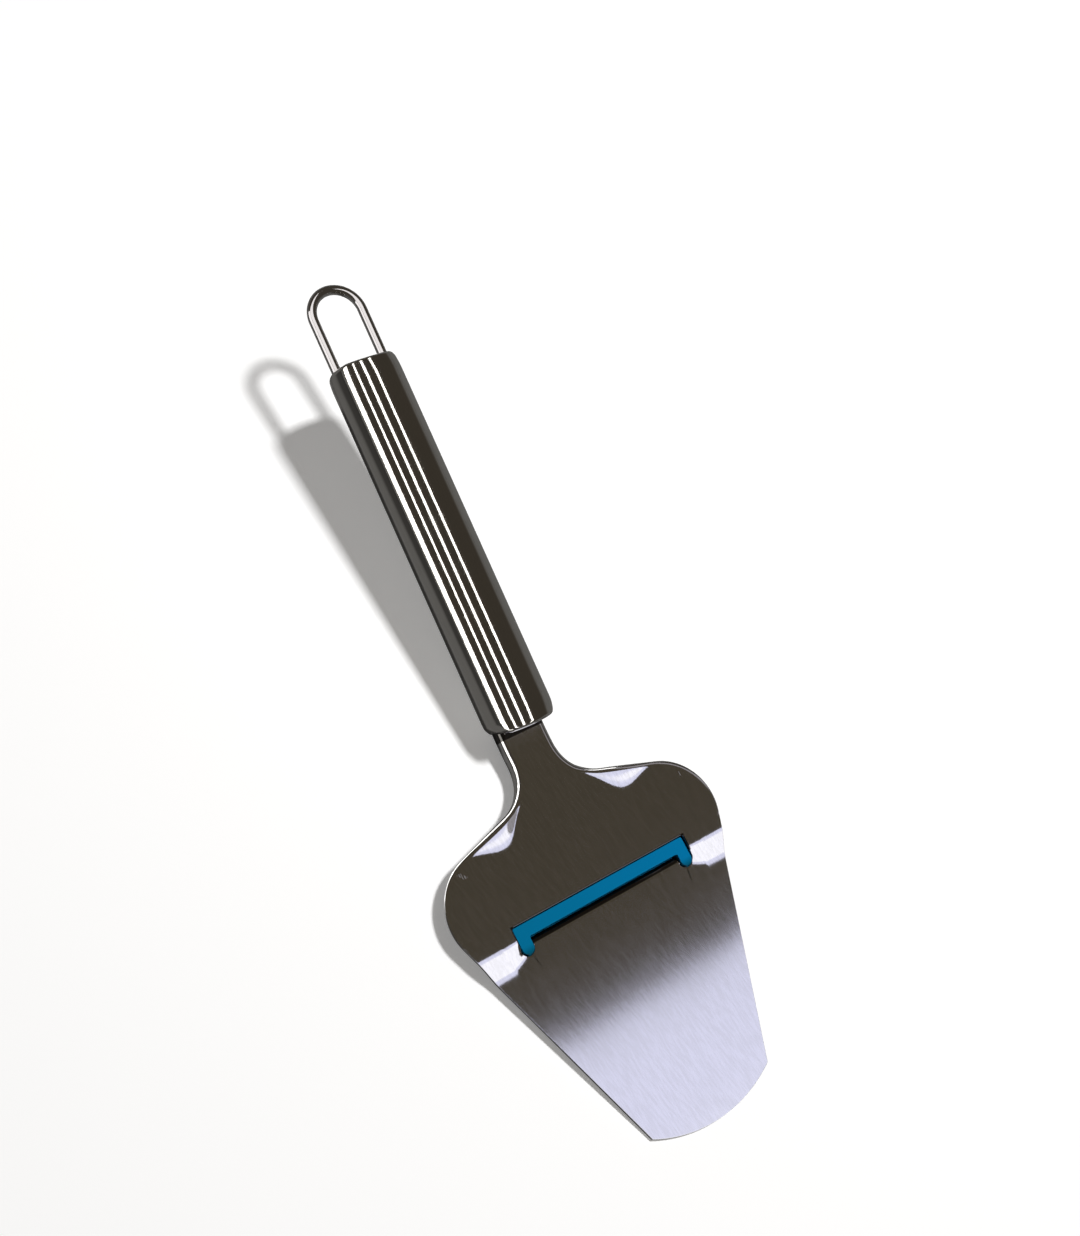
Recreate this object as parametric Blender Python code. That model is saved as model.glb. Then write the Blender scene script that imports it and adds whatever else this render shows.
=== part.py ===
"""Cheese slicer: a pressed steel blade in a tubular steel handle, with a hanging loop and an edge guard.

The tool lies as it does on a table, z = 0: it touches at the tip of the blade and at the front of the handle,
and the handle rises to the rear. Loop at +Y, tip at -Y, metres, +Z up. Everything hangs on one empty, whose
own frame has the handle along Y and its origin at the middle of the handle's front face.
"""
import math

import bmesh
import bpy
from mathutils import Matrix, Vector

# handle: a straight tube with a domed cap welded on each end
HANDLE_LENGTH = 0.103
HANDLE_DIAMETER = 0.019
HANDLE_WALL = 0.0008
CAP_RADIUS = 0.0034
CAP_SKIRT = 0.0016

# hanging loop, bent from wire, with both legs inside the handle
LOOP_WIRE = 0.0026
LOOP_SPACING = 0.0141
LOOP_REACH = 0.0209
LOOP_INSIDE = 0.018

# blade, measured in its own plane, with s running to the tip from the front of the handle
SHEET = 0.001
BLADE_RISE = math.radians(8.0)
NECK_DROP = 0.001
RISE_START = 0.0005
RISE_END = 0.0075
TANG_LENGTH = 0.030
NECK_WIDTH = 0.0141
NECK_BEND = 0.0022
NECK_FLANGE = 0.0007
NECK_FILLET = 0.012
SHOULDER_START = 0.0135
SHOULDER_ANGLE = math.radians(17.3)
SHOULDER_RADIUS = 0.015
SIDE_ANGLE = math.radians(19.5)
SIDE_LENGTH = 0.1034
TIP_WIDTH = 0.0376
TIP_BULGE = 0.0048

# rolled edge: full at the neck, wide round the fillet, fading out along the shoulder
FLARE_WIDTH = 0.005
FLARE_ANGLE = math.radians(40.0)
SHOULDER_ROLL = 0.002
SHOULDER_ROLL_ANGLE = math.radians(35.0)
ROLL_END_WIDTH = 0.001
ROLL_END_ANGLE = math.radians(2.0)
ROLL_RIM = 0.0003

# slot, and the ramps beside it that lower the front of the blade
SLOT_START = 0.0433
SLOT_WIDTH = 0.0041
SLOT_LENGTH = 0.0544
SLOT_CORNER = 0.0008
LEG_WIDTH = 0.004
LEG_DEPTH = 0.0039
PRESS_DEPTH = 0.0015
RAMP_START = 0.046
RAMP_LENGTH = 0.0077
LIP_BEVEL = 0.0013
LIP_EDGE = 0.00025

# edge guard, a moulded strip that clips into the slot from below
GUARD_WIDTH = 0.014
GUARD_MARGIN = 0.0045
GUARD_THICKNESS = 0.0012
GUARD_CORNER = 0.003
GUARD_RIB_DROP = 0.0008

# space kept between pieces, and how finely round stretches are divided
CLEARANCE = 0.0003
ROUND_SIDES = 48
ARC_SAG = 0.00003
ROLL_STEPS = 5
SHOULDER_STEPS = 6
RISE_DIVISIONS = 4

handle_radius = HANDLE_DIAMETER / 2
wire_radius = LOOP_WIRE / 2
cap_length = CAP_RADIUS + CAP_SKIRT
half_neck = NECK_WIDTH / 2
half_slot = SLOT_LENGTH / 2
slot_end = SLOT_START + SLOT_WIDTH
ramp_end = RAMP_START + RAMP_LENGTH
blade_length = SIDE_LENGTH + TIP_BULGE
rise_middle = (RISE_START + RISE_END) / 2
blade_origin = Vector((0.0, -rise_middle, -NECK_DROP))


def in_handle_frame(s, z):
    """Where a point of the blade's centre line lies, as (y, z) in the handle's frame."""
    back = rise_middle - s
    y = back * math.cos(BLADE_RISE) + z * math.sin(BLADE_RISE)
    return Vector((blade_origin.y + y, blade_origin.z + z * math.cos(BLADE_RISE) - back * math.sin(BLADE_RISE)))


# The tilt that brings the underside of the tip and the round front edge of the handle down to one level.
tip_under = in_handle_frame(blade_length, -PRESS_DEPTH - SHEET)
tip_over = in_handle_frame(blade_length, -PRESS_DEPTH)
front_edge = Vector((CAP_RADIUS, CAP_RADIUS - handle_radius))
reach = front_edge - tip_under
tilt = math.asin(CAP_RADIUS / reach.length) - math.atan2(reach.y, reach.x)

# The empty that carries the tool stands where the lowest point is at z = 0, and its middle at y = 0.
loop_end = (HANDLE_LENGTH + LOOP_REACH) * math.cos(tilt) + wire_radius
tip_end = min(p.x * math.cos(tilt) - p.y * math.sin(tilt) for p in (tip_under, tip_over))
for old in list(bpy.data.objects):
    bpy.data.objects.remove(old)
tool = bpy.data.objects.new("tool", None)
bpy.context.collection.objects.link(tool)
tool.location = (0.0, -(loop_end + tip_end) / 2, -tip_under.x * math.sin(tilt) - tip_under.y * math.cos(tilt))
tool.rotation_euler = (tilt, 0.0, 0.0)


def material(name, colour, metallic, roughness):
    """A plain Principled material."""
    made = bpy.data.materials.new(name)
    made.use_nodes = True
    shader = made.node_tree.nodes["Principled BSDF"]
    shader.inputs["Base Color"].default_value = (*colour, 1.0)
    shader.inputs["Metallic"].default_value = metallic
    shader.inputs["Roughness"].default_value = roughness
    return made


def place(name, data, finish=None, location=(0.0, 0.0, 0.0), rise=0.0):
    """Links an object at its place in the handle's frame, its front raised by an angle."""
    made = bpy.data.objects.new(name, data)
    bpy.context.collection.objects.link(made)
    made.parent = tool
    made.location = location
    made.rotation_euler = (-rise, 0.0, 0.0)
    if finish:
        data.materials.append(finish)
    return made


def mesh_from(bm, name, crease=math.radians(35.0)):
    """Closes a bmesh into a smooth mesh whose sharp edges stay sharp."""
    bmesh.ops.recalc_face_normals(bm, faces=bm.faces)
    mesh = bpy.data.meshes.new(name)
    bm.to_mesh(mesh)
    bm.free()
    mesh.shade_smooth()
    mesh.set_sharp_from_angle(angle=crease)
    return mesh


def cut(target, cutter):
    """Cuts a hidden shape out of an object."""
    cutter.hide_render = True
    cutter.display_type = "WIRE"
    hole = target.modifiers.new(cutter.name, "BOOLEAN")
    hole.operation = "DIFFERENCE"
    hole.object = cutter


def arc(centre, radius, start, end):
    """Points on an arc, both ends included, close enough for each chord to lie within the sag."""
    step = 2 * math.acos(1 - min(ARC_SAG / radius, 0.1))
    steps = max(2, math.ceil(abs(end - start) / step))
    angles = [start + (end - start) * i / steps for i in range(steps + 1)]
    return [(centre[0] + radius * math.cos(a), centre[1] + radius * math.sin(a)) for a in angles]


def fillet(before, corner, after, radius):
    """The arc that rounds the corner between two straight lines."""
    corner = Vector(corner)
    to_before = (Vector(before) - corner).normalized()
    to_after = (Vector(after) - corner).normalized()
    half = to_before.angle(to_after) / 2
    centre = corner + (to_before + to_after).normalized() * radius / math.sin(half)
    first = corner + to_before * radius / math.tan(half) - centre
    last = corner + to_after * radius / math.tan(half) - centre
    start = math.atan2(first.y, first.x)
    turn = math.atan2(first.x * last.y - first.y * last.x, first.dot(last))
    return arc(centre, radius, start, start + turn)


def revolve(profile, name, closed):
    """Spins (radius, y) points about the Y axis."""
    bm = bmesh.new()
    verts = [bm.verts.new((radius, y, 0.0)) for radius, y in profile]
    edges = [bm.edges.new(pair) for pair in zip(verts, verts[1:])]
    if closed:
        edges.append(bm.edges.new((verts[-1], verts[0])))
    bmesh.ops.spin(bm, geom=verts + edges, axis=(0, 1, 0), cent=(0, 0, 0), angle=2 * math.pi, steps=ROUND_SIDES)
    bmesh.ops.remove_doubles(bm, verts=bm.verts, dist=1e-6)
    return mesh_from(bm, name)


def prism(outline, name, low, high, to_point):
    """Raises an outline between two levels; to_point turns (u, v, level) into a position."""
    bm = bmesh.new()
    ends = [[bm.verts.new(to_point(u, v, level)) for u, v in outline] for level in (low, high)]
    for end in ends:
        bm.faces.new(end)
    for i in range(len(outline)):
        j = (i + 1) % len(outline)
        bm.faces.new((ends[0][i], ends[0][j], ends[1][j], ends[1][i]))
    return mesh_from(bm, name)


def handle_tube(steel):
    """The straight tube between the two caps."""
    inner = handle_radius - HANDLE_WALL
    low = cap_length + CLEARANCE
    high = HANDLE_LENGTH - cap_length - CLEARANCE
    profile = [(handle_radius, low), (handle_radius, high), (inner, high), (inner, low)]
    place("handle_tube", revolve(profile, "handle_tube", True), steel)


def cap(name, steel, face_y, inward):
    """A domed cup whose skirt meets the end of the tube; inward is the way to the tube along Y."""
    centre = (handle_radius - CAP_RADIUS, CAP_RADIUS)
    inner_radius = max(CAP_RADIUS - HANDLE_WALL, CLEARANCE)
    profile = [(0.0, 0.0)]
    profile += arc(centre, CAP_RADIUS, -math.pi / 2, 0.0)
    profile += [(handle_radius, cap_length), (handle_radius - HANDLE_WALL, cap_length)]
    profile += arc(centre, inner_radius, 0.0, -math.pi / 2)
    profile += [(0.0, CAP_RADIUS - inner_radius)]
    turned = [(radius, inward * y) for radius, y in profile]
    return place(name, revolve(turned, name, False), steel, (0.0, face_y, 0.0))


def rear_cap(steel):
    """The cap at the loop end, with a round hole for each leg of the loop."""
    shell = cap("rear_cap", steel, HANDLE_LENGTH, -1.0)
    bm = bmesh.new()
    along_y = Matrix.Rotation(math.pi / 2, 4, "X")
    for side in (-1, 1):
        spot = Matrix.Translation((side * LOOP_SPACING / 2, 0.0, 0.0)) @ along_y
        hole = wire_radius + CLEARANCE
        bmesh.ops.create_cone(bm, cap_ends=True, segments=24, radius1=hole, radius2=hole, depth=2 * cap_length,
                              matrix=spot)
    cut(shell, place("leg_holes", mesh_from(bm, "leg_holes"), None, (0.0, HANDLE_LENGTH, 0.0)))


def hanging_loop(steel):
    """Wire bent to a U, whose legs run into the handle through the rear cap."""
    half = LOOP_SPACING / 2
    bend_y = LOOP_REACH - half
    inner_points = [(half, -LOOP_INSIDE), (half, 0.0)]
    points = inner_points + arc((0.0, bend_y), half, 0.0, math.pi)
    points += [(-x, y) for x, y in reversed(inner_points)]
    curve = bpy.data.curves.new("hanging_loop", "CURVE")
    curve.dimensions = "3D"
    curve.bevel_depth = wire_radius
    curve.bevel_resolution = 4
    curve.use_fill_caps = True
    spline = curve.splines.new("POLY")
    spline.points.add(len(points) - 1)
    for point, (x, y) in zip(spline.points, points):
        point.co = (x, y, 0.0, 1.0)
    spline.use_smooth = True
    place("hanging_loop", curve, steel, (0.0, HANDLE_LENGTH, 0.0))


def neck_section(grow):
    """Outline of the neck's channel across the blade, grown outwards all round."""
    bottom = -NECK_BEND - NECK_FLANGE - ROLL_RIM - grow
    centre = (half_neck - NECK_BEND, -NECK_BEND)
    inner_radius = max(NECK_BEND - SHEET - grow, CLEARANCE / 2)
    outer = [(half_neck + grow, bottom)] + arc(centre, NECK_BEND + grow, 0.0, math.pi / 2)
    inner = arc(centre, inner_radius, math.pi / 2, 0.0) + [(centre[0] + inner_radius, bottom)]
    return outer + [(-x, z) for x, z in reversed(outer)] + [(-x, z) for x, z in reversed(inner)] + inner


def front_cap(steel):
    """The cap at the blade end, with an opening in the shape of the neck."""
    shell = cap("front_cap", steel, 0.0, 1.0)
    outline = neck_section(CLEARANCE)
    opening = prism(outline, "neck_opening", -cap_length, cap_length, lambda x, z, y: (x, y, z))
    cut(shell, place("neck_opening", opening, None, (0.0, 0.0, -NECK_DROP)))


def rounded_corners():
    """The corners of the blade's right edge: neck fillet, then shoulder arc, as (x, s) points."""
    neck_corner = Vector((half_neck, SHOULDER_START + half_neck * math.tan(SHOULDER_ANGLE)))
    along_shoulder = Vector((math.cos(SHOULDER_ANGLE), math.sin(SHOULDER_ANGLE)))
    tip_corner = Vector((TIP_WIDTH / 2, SIDE_LENGTH))
    up_side = Vector((math.sin(SIDE_ANGLE), -math.cos(SIDE_ANGLE)))
    gap = tip_corner - neck_corner
    turn = along_shoulder.x * up_side.y - along_shoulder.y * up_side.x
    reach = (gap.x * up_side.y - gap.y * up_side.x) / turn
    shoulder_corner = neck_corner + along_shoulder * reach
    neck_arc = fillet((half_neck, 0.0), neck_corner, shoulder_corner, NECK_FILLET)
    shoulder_arc = fillet(neck_corner, shoulder_corner, tip_corner, SHOULDER_RADIUS)
    return neck_arc, shoulder_arc


def blend(first, second, share):
    """Values part of the way from one set to another, easing out of the first and into the second."""
    eased = share * share * (3 - 2 * share)
    return [a + (b - a) * eased for a, b in zip(first, second)]


def rise_steps():
    """Where the neck is divided, for the stretch over which it bends upwards."""
    return [RISE_START + (RISE_END - RISE_START) * i / RISE_DIVISIONS for i in range(RISE_DIVISIONS)]


def rolled_edge():
    """Stations along the right edge: point, inward direction, and the roll's width, angle and flange."""
    neck_arc, shoulder_arc = rounded_corners()
    start, end = Vector(neck_arc[-1]), Vector(shoulder_arc[0])
    shoulder = [start.lerp(end, i / SHOULDER_STEPS) for i in range(1, SHOULDER_STEPS)]
    rolls = [
        (NECK_BEND, math.pi / 2, NECK_FLANGE),
        (FLARE_WIDTH, FLARE_ANGLE, 0.0),
        (SHOULDER_ROLL, SHOULDER_ROLL_ANGLE, 0.0),
        (ROLL_END_WIDTH, ROLL_END_ANGLE, 0.0),
    ]
    points = [(Vector((half_neck, s)), rolls[0]) for s in [-TANG_LENGTH] + rise_steps()]
    for i, stretch in enumerate((neck_arc, shoulder, shoulder_arc)):
        count = len(stretch) - 1 if stretch is not shoulder else SHOULDER_STEPS
        offset = 1 if stretch is shoulder else 0
        for j, point in enumerate(stretch):
            points.append((Vector(point), blend(rolls[i], rolls[i + 1], (j + offset) / count)))
    stations = []
    for i, (point, roll) in enumerate(points):
        before = points[max(i - 1, 0)][0]
        after = points[min(i + 1, len(points) - 1)][0]
        along = (after - before).normalized()
        stations.append((point, Vector((-along.y, along.x)), roll))
    return stations


def section(point, inward, roll):
    """Top and underside points of the rolled edge at one station, from the plate out to the rim."""
    width, angle, flange = roll
    flange += ROLL_RIM
    reach = width + flange * math.cos(angle)
    made = []
    for i in range(ROLL_STEPS + 2):
        turned = angle * min(i / ROLL_STEPS, 1.0)
        straight = flange if i > ROLL_STEPS else 0.0
        across = width * math.sin(turned) / math.sin(angle) + straight * math.cos(angle)
        drop = width * (1 - math.cos(turned)) / math.sin(angle) + straight * math.sin(angle)
        top = point + inward * (reach - across)
        under = top + inward * (SHEET * math.sin(turned))
        made.append(((top.x, -top.y, -drop), (under.x, -under.y, -drop - SHEET * math.cos(turned))))
    return made


def slot_edge(inset):
    """Right half of the slot's edge, from the centre line round to the centre line, as (x, s) points."""
    side = half_slot - inset
    inner_side = half_slot - LEG_WIDTH + inset
    leg_radius = (side - inner_side) / 2
    leg_centre = (side - leg_radius, slot_end + LEG_DEPTH - inset - leg_radius)
    corner = max(SLOT_CORNER - inset, CLEARANCE / 2)
    top = SLOT_START + inset
    points = [(0.0, top)]
    points += arc((side - corner, top + corner), corner, -math.pi / 2, 0.0)
    points += arc(leg_centre, leg_radius, 0.0, math.pi)
    points += [(inner_side, slot_end - inset), (0.0, slot_end - inset)]
    return points


def press(x, s):
    """How far the plate's top lies below the neck's level."""
    ramp = min(max((s - RAMP_START) / RAMP_LENGTH, 0.0), 1.0)
    lip = min(max((half_slot - x) / LEG_WIDTH, 0.0), 1.0) if s > slot_end - CLEARANCE else 0.0
    return PRESS_DEPTH * max(ramp, lip)


def bisect(bm, faces, point, normal):
    """Divides some faces along a plane, and returns them with their new parts."""
    geom = faces + list({edge for face in faces for edge in face.edges})
    geom += list({vert for face in faces for vert in face.verts})
    cut_up = bmesh.ops.bisect_plane(bm, geom=geom, dist=1e-7, plane_co=point, plane_no=normal)
    return [piece for piece in cut_up["geom"] if isinstance(piece, bmesh.types.BMFace)]


def bent(point):
    """A point of the flat blade once the tang is bent to lie along the handle; the origin is the bend's middle."""
    x, y, z = point.x, point.y + rise_middle, point.z
    half = rise_middle - RISE_START
    if y > half:
        return Vector((x, *(Matrix.Rotation(BLADE_RISE, 2) @ Vector((y, z)))))
    angle = BLADE_RISE * max(y + half, 0.0) / (2 * half)
    return Vector((x, y - z * math.sin(angle), angle * max(y + half, 0.0) / 2 + z * math.cos(angle)))


def add_underside(bm, under):
    """Gives a half sheet its thickness: an underside, and a wall round every edge but the centre line."""
    top_faces = bm.faces[:]
    top_verts = bm.verts[:]
    rim = [edge for edge in bm.edges if edge.is_boundary]
    low = {}
    for vert in top_verts:
        low[vert] = bm.verts.new(under.get(vert, vert.co - Vector((0.0, 0.0, SHEET))))
    for edge in rim:
        first, last = edge.verts
        if abs(first.co.x) > 1e-7 or abs(last.co.x) > 1e-7:
            bm.faces.new((first, last, low[last], low[first]))
    for face in top_faces:
        bm.faces.new([low[vert] for vert in reversed(face.verts)])


def blade_sheet():
    """The pressed sheet in its own plane: x across, y = -s, with the neck's top at z = 0."""
    bm = bmesh.new()
    rows = []
    under = {}
    for station in rolled_edge():
        row = []
        for top, below in section(*station):
            row.append(bm.verts.new(top))
            under[row[-1]] = Vector(below)
        rows.append(row)
    for row, next_row in zip(rows, rows[1:]):
        for i in range(len(row) - 1):
            bm.faces.new((row[i], row[i + 1], next_row[i + 1], next_row[i]))

    tip_radius = (TIP_WIDTH * TIP_WIDTH / 4 + TIP_BULGE * TIP_BULGE) / (2 * TIP_BULGE)
    tip_turn = math.asin(TIP_WIDTH / 2 / tip_radius)
    tip = arc((0.0, blade_length - tip_radius), tip_radius, math.pi / 2 - tip_turn, math.pi / 2)
    front = [bm.verts.new((x, -s, 0.0)) for x, s in tip + slot_edge(0.0)[::-1]]
    back = bm.verts.new((0.0, TANG_LENGTH, 0.0))
    plate = bm.faces.new([back] + [row[0] for row in rows] + rows[-1][1:] + front)
    faces = bmesh.ops.triangulate(bm, faces=[plate])["faces"]
    for s in [slot_end, RAMP_START, ramp_end, RISE_END] + rise_steps():
        faces = bisect(bm, faces, (0.0, -s, 0.0), (0.0, 1.0, 0.0))
    for x in (half_slot, half_slot - LEG_WIDTH):
        beside = [face for face in faces if slot_end < -face.calc_center_median().y < ramp_end]
        rest = [face for face in faces if face not in beside]
        faces = rest + bisect(bm, beside, (x, 0.0, 0.0), (1.0, 0.0, 0.0))
    for vert in {vert for face in faces for vert in face.verts}:
        if -vert.co.y > SLOT_START:
            vert.co.z = -press(vert.co.x, -vert.co.y)
    bmesh.ops.triangulate(bm, faces=[face for face in faces if len(face.verts) > 3])

    add_underside(bm, under)
    for vert in bm.verts:
        vert.co = bent(vert.co)
    everything = bm.verts[:] + bm.edges[:] + bm.faces[:]
    bmesh.ops.mirror(bm, geom=everything, axis="X", merge_dist=1e-6)
    return mesh_from(bm, "blade")


def blade(steel):
    """The pressed sheet, with its lip ground to an edge along the slot."""
    sheet = place("blade", blade_sheet(), steel, blade_origin, BLADE_RISE)
    fall = (SHEET - LIP_EDGE) / LIP_BEVEL
    low = -PRESS_DEPTH - SHEET + LIP_EDGE
    lead = SLOT_WIDTH / 2
    ground = [
        (slot_end - lead, low - lead * fall),
        (slot_end + LIP_BEVEL + lead, -PRESS_DEPTH + lead * fall),
        (slot_end - lead, -PRESS_DEPTH + lead * fall),
    ]
    side = half_slot - LEG_WIDTH / 2
    wedge = prism(ground, "lip_grind", -side, side, lambda s, z, x: (x, rise_middle - s, z))
    cut(sheet, place("lip_grind", wedge, None, blade_origin, BLADE_RISE))


def edge_guard(plastic):
    """A flat strip under the slot, with a rib of the slot's own shape standing in it."""
    middle = (SLOT_START + slot_end) / 2
    top = -PRESS_DEPTH - SHEET - CLEARANCE
    half_length = half_slot + GUARD_MARGIN
    half_width = GUARD_WIDTH / 2
    corner = (half_length - GUARD_CORNER, middle + half_width - GUARD_CORNER)
    right_end = arc(corner, GUARD_CORNER, math.pi / 2, 0.0)
    right_end += [(x, 2 * middle - s) for x, s in reversed(right_end)]
    strip = right_end + [(-x, s) for x, s in reversed(right_end)]
    half_rib = slot_edge(CLEARANCE)
    rib = half_rib + [(-x, s) for x, s in reversed(half_rib[1:-1])]

    bm = bmesh.new()
    levels = [(strip, top - GUARD_THICKNESS), (strip, top), (rib, top), (rib, -GUARD_RIB_DROP)]
    loops = [[bm.verts.new((x, middle - s, z)) for x, s in outline] for outline, z in levels]
    bm.faces.new(loops[0])
    bm.faces.new(loops[3])
    for low, high in ((loops[0], loops[1]), (loops[2], loops[3])):
        for i in range(len(low)):
            j = (i + 1) % len(low)
            bm.faces.new((low[i], low[j], high[j], high[i]))
    rims = [bm.edges.get((loop[i], loop[(i + 1) % len(loop)])) for loop in loops[1:3] for i in range(len(loop))]
    bmesh.ops.triangle_fill(bm, edges=rims, use_beauty=True)
    place("edge_guard", mesh_from(bm, "edge_guard"), plastic, (0.0, *in_handle_frame(middle, 0.0)), BLADE_RISE)


polished_steel = material("polished_steel", (0.62, 0.61, 0.59), 1.0, 0.08)
wire_steel = material("wire_steel", (0.66, 0.65, 0.64), 1.0, 0.12)
brushed_steel = material("brushed_steel", (0.64, 0.64, 0.65), 1.0, 0.25)
blue_plastic = material("blue_plastic", (0.01, 0.17, 0.38), 0.0, 0.25)

handle_tube(polished_steel)
rear_cap(polished_steel)
front_cap(polished_steel)
hanging_loop(wire_steel)
blade(brushed_steel)
edge_guard(blue_plastic)
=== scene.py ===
"""Looks of a cheese slicer: polished tubular handle, wire loop, satin blade with a ground lip, blue edge guard."""
import math

import bmesh
import bpy
from mathutils import Matrix, Vector


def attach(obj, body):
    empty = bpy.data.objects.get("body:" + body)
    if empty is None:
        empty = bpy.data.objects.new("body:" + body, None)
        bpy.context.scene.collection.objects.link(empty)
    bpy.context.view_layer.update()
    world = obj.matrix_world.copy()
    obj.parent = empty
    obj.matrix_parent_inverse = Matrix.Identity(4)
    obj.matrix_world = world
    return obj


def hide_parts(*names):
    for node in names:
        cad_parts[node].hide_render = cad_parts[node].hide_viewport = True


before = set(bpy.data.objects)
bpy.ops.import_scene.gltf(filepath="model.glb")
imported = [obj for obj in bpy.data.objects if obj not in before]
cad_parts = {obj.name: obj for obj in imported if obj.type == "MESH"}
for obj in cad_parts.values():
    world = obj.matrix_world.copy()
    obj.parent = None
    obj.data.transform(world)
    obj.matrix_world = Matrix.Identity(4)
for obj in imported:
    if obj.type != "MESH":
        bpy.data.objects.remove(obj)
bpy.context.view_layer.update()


# Floor: a sheet of matt studio paper under the tool, rolled out flat and wide. It is pale, and the camera
# sees it lit up to white, with the tool's soft shadow left on it. The room round it is dark above, pale low down.
FLOOR_SIZE = 12.0
PAPER_SEEN = (0.90, 0.90, 0.90, 1.0)
PAPER_MIRRORED = (0.14, 0.138, 0.134, 1.0)
PAPER_MIRRORED_LEFT = (0.035, 0.033, 0.030, 1.0)
PAPER_DARKENS = (-0.085, -0.04)
PAPER_GLOW = 0.26
PAPER_GLOW_MIRRORED = 0.025
ROOM_SEEN = (1.0, 1.0, 1.0, 1.0)
ROOM_LOW = (0.16, 0.157, 0.150, 1.0)
ROOM_HIGH = (0.054, 0.046, 0.036, 1.0)
ROOM_DARKENS = (0.0, 0.28)


class Value:
    """A socket of a node tree, with arithmetic that adds Math nodes."""

    def __init__(self, tree, socket):
        self.tree = tree
        self.socket = socket

    def maths(self, operation, *terms):
        return self.tree.node("ShaderNodeMath", {"operation": operation}, dict(enumerate(terms)))

    def __add__(self, other):
        return self.maths("ADD", self, other)

    def __radd__(self, other):
        return self.maths("ADD", other, self)

    def __sub__(self, other):
        return self.maths("SUBTRACT", self, other)

    def __rsub__(self, other):
        return self.maths("SUBTRACT", other, self)

    def __mul__(self, other):
        return self.maths("MULTIPLY", self, other)

    def __abs__(self):
        return self.maths("ABSOLUTE", self)

    def least(self, other):
        return self.maths("MINIMUM", self, other)

    def most(self, other):
        return self.maths("MAXIMUM", self, other)

    def between(self, low, high):
        """Nought below one value, one above another, and eased between them."""
        span = {"Value": self, "From Min": low, "From Max": high}
        return self.tree.node("ShaderNodeMapRange", {"interpolation_type": "SMOOTHSTEP"}, span)


class Nodes:
    """The node tree of a finish, of the floor or of the room."""

    def __init__(self, owner):
        owner.use_nodes = True
        self.tree = owner.node_tree

    def node(self, kind, settings, inputs, output=0):
        made = self.tree.nodes.new(kind)
        for name, setting in settings.items():
            setattr(made, name, setting)
        for name, value in inputs.items():
            self.feed(made.inputs[name], value)
        return Value(self, made.outputs[output])

    def feed(self, socket, value):
        """Links a value of the tree to a socket, or sets the socket to a plain one."""
        if isinstance(value, Value):
            self.tree.links.new(value.socket, socket)
        else:
            socket.default_value = value

    def mix(self, share, first, second):
        """A colour part of the way from the first to the second."""
        inputs = {0: share, 6: first, 7: second}
        return self.node("ShaderNodeMix", {"data_type": "RGBA", "clamp_factor": True}, inputs, 2)

    def axis(self, vector, name):
        """How far a point lies along one axis."""
        return self.node("ShaderNodeSeparateXYZ", {}, {"Vector": vector}, name)

    def noise(self, where, scale, detail, roughness=0.5):
        inputs = {"Vector": where, "Scale": scale, "Detail": detail, "Roughness": roughness}
        return self.node("ShaderNodeTexNoise", {}, inputs)

    def emboss(self, shader, height, strength, distance):
        """Roughens a finish by a height too fine for the mesh."""
        inputs = {"Strength": strength, "Distance": distance, "Height": height}
        self.feed(shader.inputs["Normal"], self.node("ShaderNodeBump", {}, inputs))


bpy.ops.object.select_all(action="DESELECT")
bpy.ops.mesh.primitive_grid_add(x_subdivisions=8, y_subdivisions=8, size=FLOOR_SIZE)
floor = bpy.context.object
floor.name = "floor"

# The camera sees the paper white. The steel mirrors it as a duller grey, darkest on the tool's left.
paper = bpy.data.materials.new("studio_paper")
nodes = Nodes(paper)
ray = nodes.node("ShaderNodeLightPath", {}, {}, "Is Camera Ray")
glossy = nodes.node("ShaderNodeLightPath", {}, {}, "Is Glossy Ray")
clear = nodes.node("ShaderNodeLightPath", {}, {}, "Is Transmission Ray")
shader = nodes.tree.nodes["Principled BSDF"]
spot = nodes.node("ShaderNodeTexCoord", {}, {}, "Object")
mirrored = nodes.mix(nodes.axis(spot, "X").between(*PAPER_DARKENS), PAPER_MIRRORED_LEFT, PAPER_MIRRORED)
nodes.feed(shader.inputs["Base Color"], nodes.mix(ray, mirrored, PAPER_SEEN))
shader.inputs["Roughness"].default_value = 0.9
shader.inputs["Specular IOR Level"].default_value = 0.0
shader.inputs["Emission Color"].default_value = (1.0, 1.0, 1.0, 1.0)
glow = ray * PAPER_GLOW + glossy * PAPER_GLOW_MIRRORED + clear * PAPER_GLOW
nodes.feed(shader.inputs["Emission Strength"], glow)
floor.data.materials.append(paper)

room = bpy.context.scene.world or bpy.data.worlds.new("room")
bpy.context.scene.world = room
nodes = Nodes(room)
nodes.tree.nodes.clear()
ray = nodes.node("ShaderNodeLightPath", {}, {}, "Is Camera Ray")
way = nodes.node("ShaderNodeTexCoord", {}, {}, "Generated")
walls = nodes.mix(nodes.axis(way, "Z").between(*ROOM_DARKENS), ROOM_LOW, ROOM_HIGH)
background = nodes.node("ShaderNodeBackground", {}, {"Color": nodes.mix(ray, walls, ROOM_SEEN)})
output = nodes.tree.nodes.new("ShaderNodeOutputWorld")
nodes.tree.links.new(background.socket, output.inputs["Surface"])

# Camera: a hand-held view from above and from the tool's left side, turned so that the tool lies aslant.
camera = bpy.data.objects.new("camera", bpy.data.cameras.new("camera"))
bpy.context.collection.objects.link(camera)
camera.data.sensor_width = 36.0
camera.data.lens = 41.063
camera.data.clip_start = 0.01
camera.location = (-0.154340, -0.054926, 0.333954)
camera.rotation_euler = [math.radians(turn) for turn in (23.5722, -19.2598, -30.4705)]
bpy.context.scene.camera = camera
bpy.context.scene.view_settings.view_transform = "Standard"

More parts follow.
